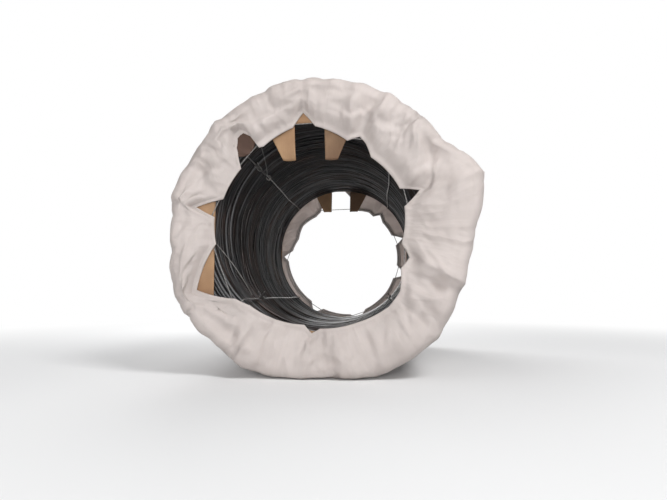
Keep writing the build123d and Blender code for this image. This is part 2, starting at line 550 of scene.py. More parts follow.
@dataclass(frozen=True)
class DrawnWire:
    """Plain tie wire: grey, with a little scale and rust."""

    bright: Rgba = (0.30, 0.29, 0.28, 1.0)
    dull: Rgba = (0.11, 0.10, 0.095, 1.0)
    metallic: float = 0.7
    roughness: float = 0.42
    relief: float = 0.0002

    def material(self) -> bpy.types.Material:
        """Build the material.

        Returns:
            The material.
        """
        paint = Paint("drawn_wire", {"Metallic": self.metallic, "Roughness": self.roughness})
        place = paint.object_place()
        blotch = paint.spread(paint.noise(place, 22.0, 4.0), 0.35, 0.65)
        paint.feed(paint.mix(blotch, self.bright, self.dull), "Base Color")
        paint.bump(paint.noise(place, 400.0), self.relief)
        return paint.material


@dataclass(frozen=True)
class Kraft:
    """Corrugated kraft board: pale brown liner with fibres, faint flutes, stains and painted shade."""

    pale: Rgba = (0.400, 0.250, 0.137, 1.0)
    deep: Rgba = (0.250, 0.140, 0.072, 1.0)
    # Near-black brown, for stains and for painted shade on the flap and the right tabs.
    stain: Rgba = (0.058, 0.030, 0.021, 1.0)
    flute_pitch: float = 0.0078
    roughness: float = 0.82
    relief: float = 0.0005

    def material(self) -> bpy.types.Material:
        """Build the material.

        Returns:
            The material, which reads the board's stains and painted shade.
        """
        paint = Paint("kraft_board", {"Roughness": self.roughness})
        cloud = paint.noise(paint.object_place(), 7.0, 5.0)
        fibre = paint.noise(paint.own_map(420.0, 60.0, 1.0), 1.0, 4.0, 0.7)
        flutes = paint.bands(paint.own_map(1.0 / self.flute_pitch, 0.0, 0.0), "X")
        liner = paint.mix(paint.spread(cloud, 0.3, 0.7), self.pale, self.deep)
        liner = paint.mix(paint.spread(fibre, 0.5, 0.75, 0.0, 0.35), liner, self.deep)
        liner = paint.mix(paint.spread(flutes, 0.0, 1.0, 0.0, 0.14), liner, self.deep)
        # The board's value darkens the liner: stains, and painted shade on the flap and the right tabs.
        dirt_and_shade = paint.times(paint.value("stain"), paint.spread(cloud, 0.10, 0.45, 0.72, 1.0))
        paint.feed(paint.mix(dirt_and_shade, liner, self.stain), "Base Color")
        paint.bump(paint.plus(paint.times(flutes, 0.5), paint.times(fibre, 0.4)), self.relief)
        return paint.material


@dataclass(frozen=True)
class WovenTape:
    """White woven polypropylene: flat tapes over and under each other, with faint dustiness, creases, and
    painted shade in its fold hollows and near the floor.
    """

    clean: Rgba = (0.715, 0.655, 0.628, 1.0)
    # The darker tone serves dustiness, gaps in the weave, and painted shade in the cloth's fold hollows and
    # near the floor.
    dusty_and_shaded: Rgba = (0.560, 0.502, 0.472, 1.0)
    roughness: float = 0.60
    specular: float = 0.32
    glow: float = 0.40
    crumple: float = 0.017
    tape_width: float = 0.0028
    panels: tuple[tuple[float, float], ...] = ((8.0, 1.0), (25.0, 0.24))

    def dust_and_shade(self, paint: Paint, place: Socket) -> Socket:
        """How much dustiness and painted shade the cloth has: clouds, smudges, and painted shade in its fold
        hollows and near the floor.

        Args:
            paint: The material in the making.
            place: Object coordinates.

        Returns:
            The share of dustiness and painted shade.
        """
        cloud = paint.spread(paint.noise(place, 3.2, 5.0, 0.6), 0.42, 0.75, 0.0, 0.55)
        smudge = paint.spread(paint.noise(place, 14.0, 4.0, 0.6), 0.55, 0.80, 0.0, 0.35)
        # Clouds and smudges are dustiness; the last part adds painted shade in the fold hollows and near the
        # floor.
        return paint.plus(paint.plus(cloud, smudge), paint.times(paint.value("hollow"), 0.30))

    def creases(self, paint: Paint, place: Socket, weave: Socket) -> Socket:
        """The cloth's relief: the weave, a fine crumple, and flat panels between creases in two sizes.

        Args:
            paint: The material in the making.
            place: Object coordinates.
            weave: The weave's relief.

        Returns:
            The height.
        """
        crumple = paint.noise(place, 38.0, 5.0, 0.62)
        height = paint.plus(paint.times(weave, 0.02), paint.times(crumple, 0.09))
        bent = paint.node("TexNoise", {"Vector": place, "Scale": 4.0, "Detail": 3.0}).outputs["Color"]
        for scale, part in self.panels:
            inputs = {0: bent, 1: (2.2, 1.6, 0.0), 2: paint.own_map(scale, scale * 0.36, 0.0)}
            spot = paint.node("VectorMath", inputs, operation="MULTIPLY_ADD").outputs["Vector"]
            panel = paint.node("TexVoronoi", {"Vector": spot, "Scale": 1.0}, voronoi_dimensions="2D")
            height = paint.plus(height, paint.times(panel.outputs["Distance"], part))
        return height

    def material(self) -> bpy.types.Material:
        """Build the material.

        Returns:
            The material, which reads the painted shade of the cloth's fold hollows and lets some light
            through.
        """
        numbers = {"Roughness": self.roughness, "Specular IOR Level": self.specular}
        paint = Paint("woven_polypropylene", numbers)
        tapes = 1.0 / self.tape_width
        weave = paint.times(*(paint.bands(paint.own_map(tapes, tapes, tapes), way) for way in "XY"))
        place = paint.object_place()
        streak = paint.noise(paint.own_map(90.0, 5.0, 1.0), 1.0)
        base = paint.mix(self.dust_and_shade(paint, place), self.clean, self.dusty_and_shaded)
        base = paint.mix(paint.spread(streak, 0.35, 0.70, 0.0, 0.10), base, self.dusty_and_shaded)
        base = paint.mix(paint.spread(weave, 0.0, 0.5, 0.10, 0.0), base, self.dusty_and_shaded)
        paint.feed(base, "Base Color")
        paint.bump(self.creases(paint, place, weave), self.crumple)
        through = paint.node("BsdfTranslucent", {"Color": base})
        paint.show(paint.mix_shaders(self.glow, paint.shader.outputs[0], through.outputs[0]))
        return paint.material


@dataclass(frozen=True)
class TwistedCord:
    """A dark grey cord of twisted yarns."""

    light: Rgba = (0.34, 0.32, 0.31, 1.0)
    dark: Rgba = (0.12, 0.115, 0.11, 1.0)
    lay_length: float = 0.009
    roughness: float = 0.8
    relief: float = 0.0006

    def material(self) -> bpy.types.Material:
        """Build the material.

        Returns:
            The material.
        """
        paint = Paint("twisted_cord", {"Roughness": self.roughness})
        yarn = paint.bands(paint.own_map(0.35, 1.0 / self.lay_length, 1.0), "DIAGONAL")
        fuzz = paint.noise(paint.object_place(), 240.0)
        paint.feed(paint.mix(paint.times(yarn, fuzz), self.dark, self.light), "Base Color")
        paint.bump(yarn, self.relief)
        return paint.material


def dress(piece: bpy.types.Object, material: bpy.types.Material, slot: str, *nodes: str) -> None:
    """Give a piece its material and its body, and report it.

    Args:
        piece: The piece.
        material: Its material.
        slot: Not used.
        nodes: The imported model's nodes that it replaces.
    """
    piece.data.materials.append(material)
    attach(piece, "root")
    if nodes:
        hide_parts(*nodes)
    bpy.context.view_layer.update()
    log.info("%s: %d faces", piece.name, len(piece.data.polygons))


@dataclass
class RodCoil:
    """The rod: a dark core, the turns that line the bore, loose turns over them, and turns on both ends."""

    space: CoilSpace
    finish: MillScale = MillScale()
    rod: float = 0.014
    sides: int = 6
    turn_steps: int = 96
    core_clearance: float = 0.021
    core_steps: int = 120
    grouping: float = 0.0042
    lean: float = 0.014
    sunk: float = 0.011
    slump: float = 0.012
    slump_angle: float = 222.0
    slump_spread: float = 30.0
    grey_from: float = 0.02
    loose_turns: int = 6
    end_turn_pitch: float = 0.0146

    def strand(self, radius: Array, angle: Array, y: Array, seed: int) -> Surface:
        """One stretch of rod, with a tint that drifts along it.

        Args:
            radius: The distances of its points from the axis.
            angle: Their angles.
            y: Their places along the axis.
            seed: Which drift the tint gets.

        Returns:
            The stretch.
        """
        path = self.space.place(radius, angle, y)
        drift = together(np.linspace(0, len(path) / 60.0, len(path)), seed * 3.7, 0.0)
        tint = ease((Noise(5).at(drift) - self.grey_from) / 0.45)
        return tube(path, self.rod / 2, self.space.outwards(angle), self.sides, tint=tint)

    def slumped(self, angle: Array) -> Array:
        """How far the turns have slumped outwards at angles: a bell round the lower left."""
        return self.slump * bell(turned(angle, self.slump_angle), self.slump_spread)

    def bore_turns(self) -> Surface:
        """The lining of the bore, one long helix.

        Its angle grows evenly and its place along the axis grows by one rod a turn. Noise in the place
        moves neighbouring turns along together, which groups them, and leans them where the coil has
        settled. A second noise sinks stretches of turns into the wall.

        Returns:
            The helix.
        """
        space = self.space
        run = 2 * space.half_length - self.rod
        turns = int(round(run / self.rod))
        share = np.linspace(0.0, 1.0, turns * self.turn_steps + 1)
        angle = share * turns * FULL_TURN
        y = -space.half_length + self.rod / 2 + share * run
        fade = np.clip((space.half_length - np.abs(y)) / 0.12, 0.0, 1.0)
        grouped = self.grouping * Noise(11).layered(space.spot(angle, y, 1.3, 30.0), 2)
        leant = self.lean * Noise(12).at(space.spot(angle, y, 0.8, 1.6))
        y = y + fade * (grouped + leant)
        sunk = self.sunk * ease(0.45 + 1.1 * Noise(13).at(space.spot(angle, y, 1.6, 34.0)))
        radius = space.bore_radius + self.rod / 2 + sunk + fade * self.slumped(angle)
        return self.strand(radius, angle, y, 1)

    def loose(self) -> Surface:
        """Turns that lie across the lining at a slant and dive into it at their ends.

        Each runs round by its own span, mostly at the lower left. Its place along the axis is a straight
        slant and a sine, and it dives into the wall over the last part of its run.

        Returns:
            All of them.
        """
        space = self.space
        rng = np.random.default_rng(21)
        parts = []
        for number in range(self.loose_turns):
            middle = rng.normal(215.0, 55.0)
            span = rng.uniform(110.0, 250.0)
            share = np.linspace(0.0, 1.0, 72)
            angle = middle + (share - 0.5) * span
            start = rng.uniform(-0.85, 0.75) * space.half_length
            slant = rng.uniform(-0.10, 0.10)
            y = start + slant * (share - 0.5) * 2 + 0.012 * np.sin(share * np.pi * rng.uniform(1.5, 3.0))
            dive = np.clip(np.abs(share - 0.5) * 2 - 0.82, 0.0, 1.0) / 0.18
            radius = space.bore_radius + 0.003 + 0.020 * ease(dive) + 0.002 * np.sin(share * 7 + number)
            parts.append(self.strand(radius + self.slumped(angle), angle, y, 30 + number))
        return Surface.joined(parts)

    def end_turns(self, end: End) -> Surface:
        """Rings of rod on one end, side by side from the bore to the rim, each a little off centre.

        Args:
            end: Which end.

        Returns:
            All of its rings.
        """
        space = self.space
        rng = np.random.default_rng(40 + end.value)
        parts = []
        first = space.bore_radius + self.rod / 2
        last = space.outer_radius - self.rod / 2
        angle = np.linspace(0.0, FULL_TURN, self.turn_steps, endpoint=False)
        for reach in np.arange(first, last + self.end_turn_pitch / 2, self.end_turn_pitch):
            shift, phase, depth = (rng.uniform(0.0, most) for most in (0.003, FULL_TURN, 0.005))
            radius = np.minimum(reach + shift * np.cos(np.radians(angle - phase)), last)
            sunk = depth * (1 + np.sin(np.radians(angle * 2 + phase)))
            path = space.place(radius, angle, end.value * (space.half_length - self.rod / 2 - sunk))
            tint = np.full(self.turn_steps, 0.35 + 0.5 * rng.random())
            parts.append(tube(path, self.rod / 2, space.outwards(angle), self.sides, True, tint=tint))
        return Surface.joined(parts)

    def core(self) -> Surface:
        """A dark ring behind the turns: a closed four-sided section carried round the axis.

        Returns:
            The ring.
        """
        space = self.space
        low, high = space.bore_radius + self.core_clearance, space.outer_radius - 0.0005
        reach = space.half_length - self.core_clearance
        section = np.array([(low, -reach), (high, -reach), (high, reach), (low, reach), (low, -reach)])
        radius, y = section[:, :1], section[:, 1:]
        angle = np.linspace(0.0, FULL_TURN, self.core_steps, endpoint=False)
        points = space.place(radius + self.slumped(angle) * (radius == low), angle, y)
        made = Surface.grid(points, angle / FULL_TURN, y, True, tint=0.0)
        return made.last_row_joined(4 * self.core_steps).flipped()

    def build(self) -> None:
        """Make and dress the rod's pieces."""
        material = self.finish.material()
        dress(self.bore_turns().piece("rod_bore_turns"), material, "rod_steel", "rod_coil")
        dress(self.loose().piece("rod_loose_turns"), material, "rod_steel")
        for end in End:
            dress(self.end_turns(end).piece(f"rod_end_turns_{end.name.lower()}"), material, "rod_steel")
        core = self.core().piece("rod_core")
        core.data.shade_flat()
        dress(core, material, "rod_steel")


@dataclass(frozen=True)
class Hanger:
    """A thin wire from the hem to a tie.

    It leaves the hem at a distance from the axis and an angle, and reaches the tie so deep in the bore.
    """

    radius: float
    angle: float
    depth: float
    looped: bool


@dataclass
class TieWire:
    """One binding wire: a closed loop round the coil's wall, and the twist and tails of its two ends."""

    space: CoilSpace
    corner: Corner
    wire: float = 0.0065
    seat: float = 0.0003
    bend: float = 0.0176
    run_steps: int = 90
    bend_steps: int = 8
    waver: float = 0.010
    twist_at: float = 0.32
    twist_length: float = 0.045
    twist_pitch: float = 0.016
    tail: float = 0.055
    hook: float = 0.012
    hanger: Hanger | None = None

    @property
    def out(self) -> Array:
        """The way from the axis to the tie."""
        return self.space.outwards(self.corner.value)

    @property
    def across(self) -> Array:
        """The way across the tie, at right angles to that one and to the axis."""
        return np.cross(self.out, AXIS)

    def in_bore(self, widths: float, depth: float) -> Array:
        """The point by the tie that lies so many wire widths off the bore's wall, and so deep in it."""
        radius = self.space.bore_radius - self.seat - widths * self.wire
        return self.space.place(radius, self.corner.value, depth - self.space.half_length)

    def loop(self) -> Array:
        """The wire's centre line: four straight runs and four quarter bends, with a slow waver in the bore.

        A bend's point is its centre plus the bend's radius times the cosine and the sine of its angle.

        Returns:
            The line's points.
        """
        space = self.space
        lift = self.seat + self.wire / 2
        low, high = space.bore_radius - lift, space.outer_radius + lift
        reach = space.half_length + lift
        corners = np.array([(high, reach), (low, reach), (low, -reach), (high, -reach)])
        corner_r, corner_y = corners.T[..., None]
        centre_r = corner_r - self.bend * np.sign(corner_r - (low + high) / 2)
        centre_y = corner_y - self.bend * np.sign(corner_y)
        turn = np.arange(4)[:, None] * QUARTER_TURN + np.linspace(0.0, QUARTER_TURN, self.bend_steps)
        bends = together(centre_r + self.bend * np.cos(turn), centre_y + self.bend * np.sin(turn))
        profile = np.concatenate([*bends, bends[0, :1]])
        length = lengths(profile)
        even = np.linspace(0.0, length[-1], 4 * self.run_steps, endpoint=False)
        even = np.unique(np.concatenate([length[:-1], even]))
        radius, y = (np.interp(even, length, part) for part in profile.T)
        inner = ease((space.half_length - 0.02 - np.abs(y)) / 0.3) * (radius < space.bore_radius)
        noise = Noise(51).at(together(y * 2.1, self.corner.value, 0.0))
        sway = np.degrees(self.waver * noise / space.bore_radius) * inner
        return space.place(radius - 0.0015 * inner, self.corner.value + sway, y)

    def twist(self) -> list[Surface]:
        """The two wire ends, wound round each other inside the bore, then parted into tails.

        Each winds as a helix whose radius fades to nothing, and its tail then bends away by a square.

        Returns:
            Both ends.
        """
        run = np.linspace(0.0, self.twist_length + self.tail, 90)
        tail = np.clip((run - self.twist_length) / self.tail, 0.0, 1.0)
        fade = (1.0 - ease(tail * 4)) * self.wire / 2
        parts = []
        for hand in (-1.0, 1.0):
            turn = 2 * np.pi * run / self.twist_pitch + (0 if hand < 0 else np.pi)
            rise = fade * np.cos(turn) - self.hook * tail**2 * (1.0 + 0.3 * hand)
            part = fade * np.sin(turn) + hand * 0.009 * ease(tail * 2)
            part = part + 0.004 * np.sin(tail * 5.0 + hand) * tail
            line = self.in_bore(1.9, self.twist_at) - run[:, None] * AXIS
            line = line + rise[:, None] * self.out + part[:, None] * self.across
            parts.append(tube(line, self.wire * 0.42, self.out, 8))
        return parts

    def hung(self, hanger: Hanger) -> list[Surface]:
        """The thin wire from the hem to the tie, and the small loop that it may end in.

        Args:
            hanger: Where it leaves the hem and reaches the tie.

        Returns:
            The wire, which sags by a sine, and its loop, part of a circle.
        """
        knot = self.in_bore(4.2, hanger.depth)
        hem = self.space.place(hanger.radius, hanger.angle, -self.space.half_length - 0.004)
        share = np.linspace(0.0, 1.0, 40)[:, None]
        line = hem + (knot - hem) * share - self.out * 0.008 * np.sin(np.pi * share)
        parts = [tube(line, self.wire * 0.24, self.across, 6)]
        if hanger.looped:
            turn = np.linspace(0.15 * np.pi, 1.95 * np.pi, 28)[:, None]
            ring = knot - self.out * 0.0104 * (1 - np.cos(turn)) + self.across * 0.010 * np.sin(turn)
            parts.append(tube(ring, self.wire * 0.36, AXIS, 8))
        return parts

    def build(self, material: bpy.types.Material) -> None:
        """Make and dress the wire.

        Args:
            material: Its material.
        """
        place = self.corner.name.lower()
        ring = tube(self.loop(), self.wire / 2, self.across, 10, True)
        hung = self.hung(self.hanger) if self.hanger else []
        made = Surface.joined([ring, *self.twist(), *hung]).piece(f"wire_{place}")
        dress(made, material, "tie_wire", f"tie_{place}")


@dataclass
class EndBoard:
    """One corrugated board: its face over a quarter of an end, its folded band, and any hanging tabs.

    The top boards have two tabs, and the front one also has a flap that the drawstring pinches.
    """

    space: CoilSpace
    end: End
    quarter: Quarter
    seed: int
    half_angle: float = 39.4
    edge: float = 0.422
    thickness: float = 0.0046
    lift: float = 0.0028
    bevel: float = 0.014
    band: float = 0.120
    columns: int = 64
    tab_gap: float = 0.124
    tab_root: float = 0.126
    tab_tip: float = 0.052
    tab_length: float = 0.145
    flap_angle: float = 132.5
    flap_top: float = 0.535
    flap_length: float = 0.127

    @property
    def tab_shift(self) -> float:
        """How far to the right of the middle the gap between the tabs lies."""
        return -0.032 if self.end is End.FRONT else -0.016

    def waves(self, points: Array, height: float) -> Array:
        """Slow buckles in the board, up to a height in metres."""
        return height * Noise(60 + self.seed).layered(points * 7.0, 2)

    def face_and_band(self) -> Surface:
        """The face, from its straight inner edge out to the rim, over the bevel and along the band.

        A column runs out at one angle. Its rows go from the straight edge, at the edge's distance over the
        cosine of the angle from the board's middle, out to the rim, round a quarter of an ellipse, and then
        back along the coil's side.

        Returns:
            The surface through the middle of the board's thickness.
        """
        space = self.space
        turn = np.linspace(-self.half_angle, self.half_angle, self.columns)
        inner = self.edge / np.cos(np.radians(turn))
        rim = space.outer_radius - self.bevel + self.lift * 0.41
        outer = space.outer_radius + self.lift
        out = np.linspace(0.0, 1.0, 14)[:, None]
        bend = np.linspace(0.0, 1.0, 5)[1:, None] * np.pi / 2
        back = np.linspace(0.0, 1.0, 9)[1:, None]
        reach = space.half_length + self.lift
        bevel = reach - (self.bevel + self.lift * 0.6) * (1 - np.cos(bend))
        band = bevel[-1] + (space.half_length - self.band - bevel[-1]) * back
        bent = rim + (outer - rim) * np.sin(bend)
        radius = stacked(self.columns, inner * (1 - out) + rim * out, bent, outer + 0 * back)
        y = stacked(self.columns, reach + 0 * out, bevel, band)
        points = space.place(radius, self.quarter.value + turn, self.end.value * y)
        free = np.clip((rim - radius) / 0.08, 0.0, 1.0)
        points[..., 1] += self.end.value * np.abs(self.waves(points, 0.0022)) * free
        length = lengths(points[:, self.columns // 2])[:, None]
        near_tie = np.clip((np.abs(turn) - 33.0) / 10.0, 0.0, 1.0)
        # Random stains, and darker towards the ties.
        stain = 0.25 + 0.5 * self.waves(points * 1.7, 1.0) + 0.5 * near_tie
        made = Surface.grid(points, np.radians(turn) * 0.52, length, stain=np.clip(stain, 0.0, 1.0) * 0.55)
        return made if self.end is End.FRONT else made.flipped()

    def tab(self, hand: int) -> Surface:
        """A hanging tab: from its fold it narrows on its outer side, and its lower half curls into the bore.

        Args:
            hand: -1 for the left tab and 1 for the right one.

        Returns:
            The surface through the middle of the tab's thickness, whose curl grows by the square.
        """
        down = np.linspace(0.0, 1.0, 16)[:, None]
        across = np.linspace(0.0, 1.0, 14)[None, :]
        width = self.tab_root + (self.tab_tip - self.tab_root) * down
        x = self.tab_shift + hand * (self.tab_gap / 2 + width * across)
        height = self.edge + 0.006 - (self.tab_length + 0.006) * down
        curl = 0.030 * down**2 + 0.006 * np.sin(across * np.pi) * down
        reach = self.space.half_length + self.lift - curl - 0.004 * down
        points = together(x, self.end.value * reach, self.space.axis_height + height)
        points[..., 1] += self.waves(points * 2.0, 0.002) * down
        # Darker near the fold; the right tab's extra darkness is painted shade.
        stain = 0.10 + 0.35 * np.clip(1 - down * 5, 0, 1) + 0.50 * (hand > 0)
        made = Surface.grid(points, x, height, stain=stain)
        return made if hand * self.end.value < 0 else made.flipped()

    def flap(self) -> Surface:
        """The flap that the drawstring pinches in the upper left notch, dark from stains and painted shade.

        Its half width shrinks to its rounded end by the root of one less a fifth power, and a sine
        puckers it.

        Returns:
            The surface through the middle of the flap's thickness.
        """
        down = np.linspace(0.0, 1.0, 18)[:, None]
        across = np.linspace(-1.0, 1.0, 16)[None, :]
        narrow = np.sqrt(np.clip(1.0 - (down * 0.97) ** 5, 0.0, 1.0))
        angle = self.flap_angle + across * (6.4 + 1.6 * down) * narrow
        radius = self.flap_top - self.flap_length * down + 0.010 * across**2
        pucker = 0.0035 * np.sin(across * 7.0 + down * 3.0 + 3.0) * down
        y = self.end.value * (self.space.half_length + 0.0105 + pucker - 0.002 * down**3)
        points = self.space.place(radius, angle, y)
        # Near the top of the board's value: the flap's darkness is painted shade together with stains.
        return Surface.grid(points, across * 0.05, down * 0.185, stain=0.97).flipped()

    def build(self, material: bpy.types.Material) -> None:
        """Make and dress the board.

        Args:
            material: Its material.
        """
        parts = [self.face_and_band()]
        if self.quarter is Quarter.TOP:
            parts += [self.tab(hand) for hand in (-1, 1)]
            parts += [self.flap()] if self.end is End.FRONT else []
        node = f"board_{self.end.name.lower()}_{self.quarter.name.lower()}"
        made = Surface.joined(parts).piece(f"kraft_{node}")
        wall = made.modifiers.new("board", "SOLIDIFY")
        wall.thickness = self.thickness
        wall.offset = 0.0
        dress(made, material, "end_board", node)


@dataclass(frozen=True)
class Spoke:
    """A crease of the wrap's end, from a point of the hem out to a point of the rim.

    The hem is at an angle and so far inside the bore's wall, and the rim at an angle and a distance from
    the axis. The crease stands so far out of the end near the hem and near the rim. All in mm and degrees.
    The drawstring runs through the hem where it is held, and bare across the notches.
    """

    hem_angle: float
    inside: float
    rim_angle: float
    rim_radius: float
    near_hem: float
    near_rim: float
    held: bool = True


SPOKES: dict[End, tuple[Spoke, ...]] = {
    End.FRONT: (
        Spoke(97, -43, 97, 618, 16, 6, False),
        Spoke(104, 10, 103, 622, 6, 14),
        Spoke(124, 29, 119, 614, 24, -10),
        Spoke(126.5, 22, 121.5, 613, 12, -12),
        Spoke(126.6, -40, 124, 612, 6, -16, False),
        Spoke(128.4, -68, 127, 611, 4, -18, False),
        Spoke(132.2, -68, 130, 614, 6, -4, False),
        Spoke(138.2, -16, 134, 622, 14, 22, False),
        Spoke(143, 31, 139, 609, 6, 6),
        Spoke(164, 22, 153, 610, -4, -24),
        Spoke(171, -82, 168, 630, 22, 20, False),
        Spoke(175, 0, 175, 614, -8, -14),
        Spoke(190, 4, 188, 616, 14, 10),
        Spoke(208, -131, 206, 656, 8, 16, False),
        Spoke(222, -18, 222, 646, -34, -26),
        Spoke(230, 4, 233, 640, -16, -34),
        Spoke(243, 11, 239, 644, 24, 34),
        Spoke(247, 13, 249, 628, 6, -4),
        Spoke(263, 23, 262, 618, 4, 6),
        Spoke(267.5, -8, 268, 612, 20, 18, False),
        Spoke(272, 11, 274, 612, -10, -18),
        Spoke(279, 8, 281, 620, 12, 12),
        Spoke(292, 4, 292, 640, -5, -6),
        Spoke(311, -9, 310, 644, 10, 10),
        Spoke(317, -3, 318, 646, -14, -24),
        Spoke(321, 1, 329, 634, 18, 18),
        Spoke(332, 47, 335, 622, -12, -30),
        Spoke(340, 33, 338, 630, 28, 28, False),
        Spoke(347, 79, 347, 618, 6, 0),
        Spoke(358, 74, 358, 628, 0, 6),
        Spoke(371, 68, 377, 702, 16, 30),
        Spoke(378, -7, 394, 616, -12, -38, False),
        Spoke(383, 63, 402, 612, 14, 16),
        Spoke(411, 76, 413, 612, 4, -10),
        Spoke(419, 40, 421, 616, 20, 18),
        Spoke(424, 27, 425, 612, -10, -22, False),
        Spoke(430, 61, 433, 616, 14, 10),
        Spoke(451, 18, 449, 622, 4, -6),
    ),
    End.REAR: (
        Spoke(95, -43, 96, 616, 14, 4, False),
        Spoke(119, 101, 116, 612, 10, 16),
        Spoke(127, 111, 128, 620, -8, -16),
        Spoke(146, 88, 143, 610, 18, 20),
        Spoke(162, 102, 164, 618, -10, -8),
        Spoke(177, 76, 175, 612, 12, 18),
        Spoke(183, 18, 184, 626, -6, -14, False),
        Spoke(188, 45, 191, 618, 14, 8),
        Spoke(216, 40, 214, 640, -12, -20),
        Spoke(236, 36, 236, 636, 16, 22),
        Spoke(243, -20, 244, 626, -4, -6, False),
        Spoke(250, 26, 252, 618, 12, 14),
        Spoke(276, 12, 275, 612, -8, -12),
        Spoke(283, -30, 284, 622, 14, 10, False),
        Spoke(291, 22, 293, 634, -6, -10),
        Spoke(318, 38, 316, 646, 14, 24),
        Spoke(333, 52, 331, 630, -12, -22),
        Spoke(340, -10, 341, 620, 16, 16, False),
        Spoke(347, 58, 349, 628, -4, -8),
        Spoke(368, 70, 366, 618, 16, 18),
        Spoke(374, 14, 375, 624, -10, -16, False),
        Spoke(380, 80, 383, 612, 12, 14),
        Spoke(398, 90, 396, 622, -8, -14),
        Spoke(406, 68, 408, 610, 18, 20),
        Spoke(411, 105, 413, 616, -6, -10),
        Spoke(418, 99, 419, 612, 12, 8),
        Spoke(431, 119, 433, 618, -6, -12),
    ),
}

# The hem's section round the drawstring: how far each row lies out from the hem's edge, and how far
# out of the end from the hem's outer side.
HEM_OUT = np.array([0.024, 0.013, 0.0045, 0.0012, 0.0, 0.0012, 0.0055, 0.013, 0.021])
HEM_PROUD = np.array([-0.0066, -0.0066, -0.0062, -0.0050, -0.0032, -0.0012, 0.0, 0.0004, -0.0012])


@dataclass
class Rows:
    """Rows of the wrap: each point's radius, angle and place along the axis, and how free it is to fold."""

    radius: Array
    angle: Array
    y: Array
    free: Array

    @staticmethod
    def joined(front: "Rows", side: "Rows", rear: "Rows") -> "Rows":
        """The rows from the front hem, over the coil's side, to the rear hem."""
        blocks = zip(vars(front).values(), vars(side).values(), vars(rear).values())
        return Rows(*(np.concatenate([first, middle, last[::-1]]) for first, middle, last in blocks))


@dataclass(frozen=True)
class ClothFeel:
    """How the cloth behaves, by the names of the simulation's own settings."""

    quality: int = 5
    mass: float = 0.12
    tension_stiffness: float = 30.0
    compression_stiffness: float = 30.0
    shear_stiffness: float = 12.0
    bending_stiffness: float = 2.5
    tension_damping: float = 12.0
    compression_damping: float = 12.0
    shear_damping: float = 12.0
    air_damping: float = 2.0
    pin_stiffness: float = 0.8
    shrink_min: float = -0.010


